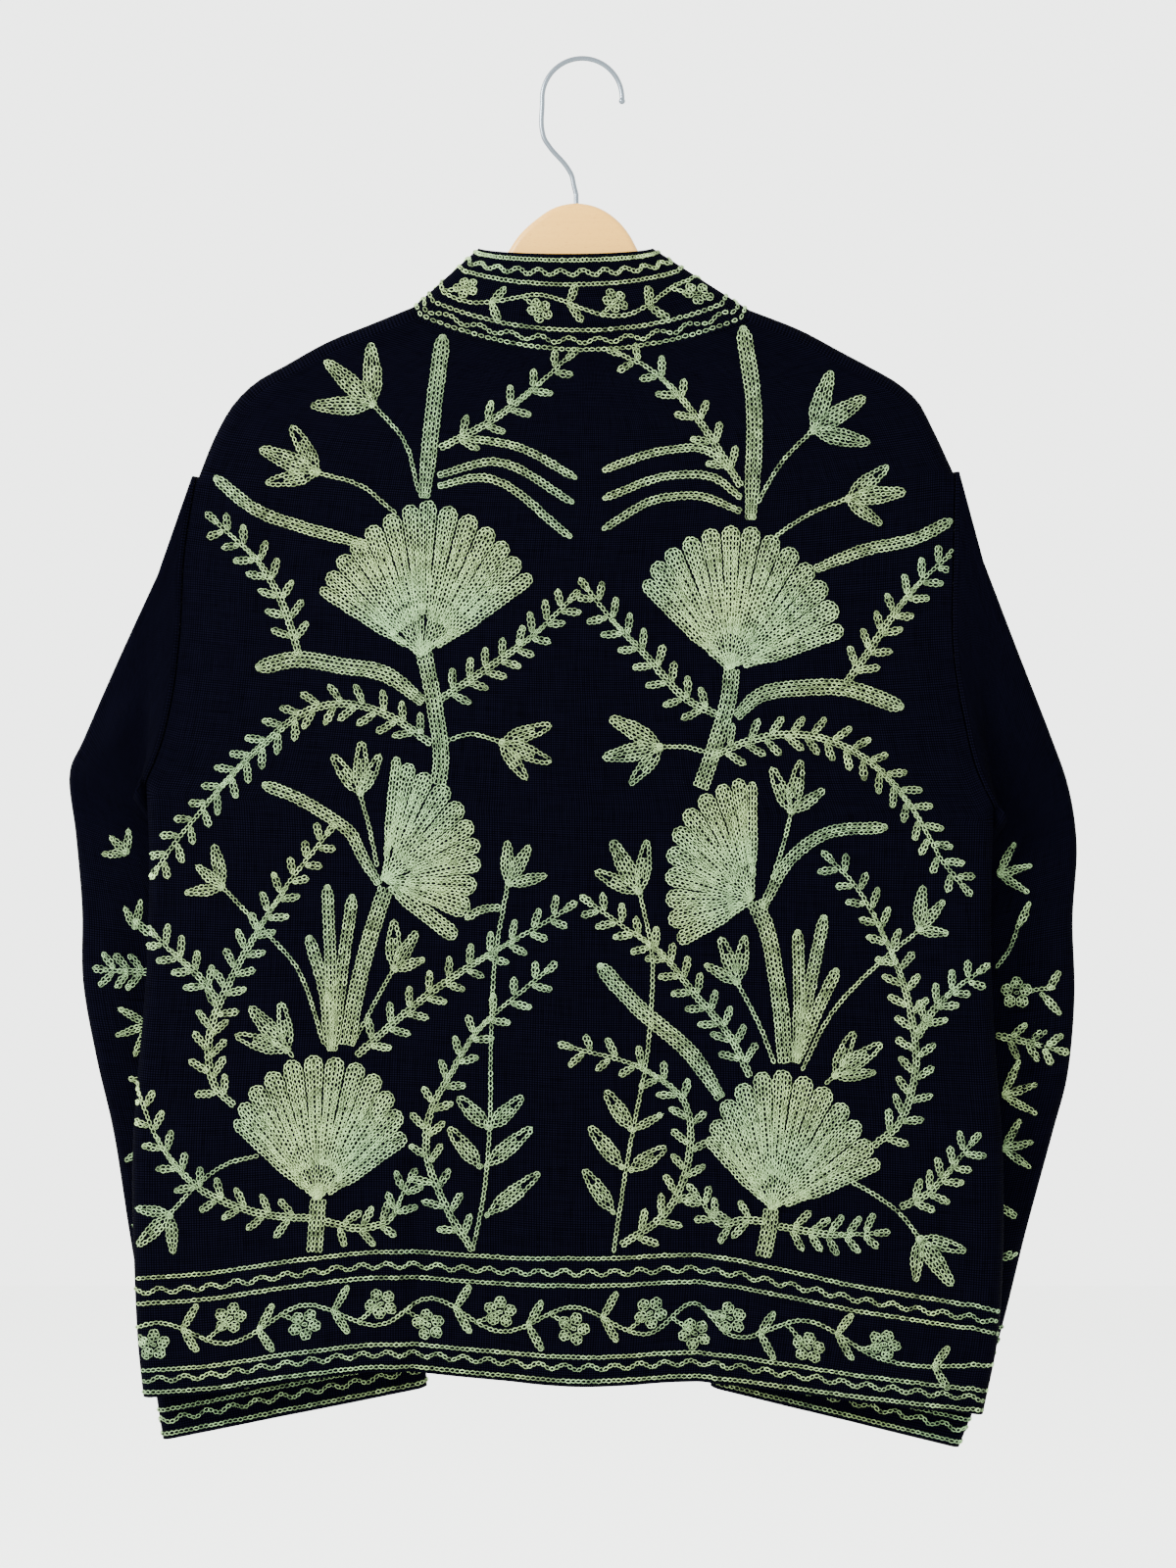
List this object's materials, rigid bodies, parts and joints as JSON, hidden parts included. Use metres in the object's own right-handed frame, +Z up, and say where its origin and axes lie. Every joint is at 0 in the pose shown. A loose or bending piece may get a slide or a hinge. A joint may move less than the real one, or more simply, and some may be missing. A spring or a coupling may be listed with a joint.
{
  "type": "embroidered jacket on a hanger",
  "caption": "Short open-front jacket with a stand collar and long sleeves, hung flat on a wooden hanger with a wire hook.",
  "frame": {"origin": "inside top of the hook, where a rail or peg holds the hanger", "axes": "+Z up, +X to the right seen from the jacket's back, -Y out of its back towards the viewer"},
  "size_m": [0.6678, 0.049, 0.9178],
  "materials": {
    "cloth": "matt slub weave with chain-stitch embroidery",
    "beech": "clear satin lacquer",
    "wire": "zinc plated"
  },
  "bodies": {
    "root": {"back": "cloth", "front_left": "cloth", "front_right": "cloth", "sleeve_left": "cloth", "sleeve_right": "cloth", "collar": "cloth", "hanger_wood": "beech", "hanger_hook": "wire"}
  },
  "joints": []
}
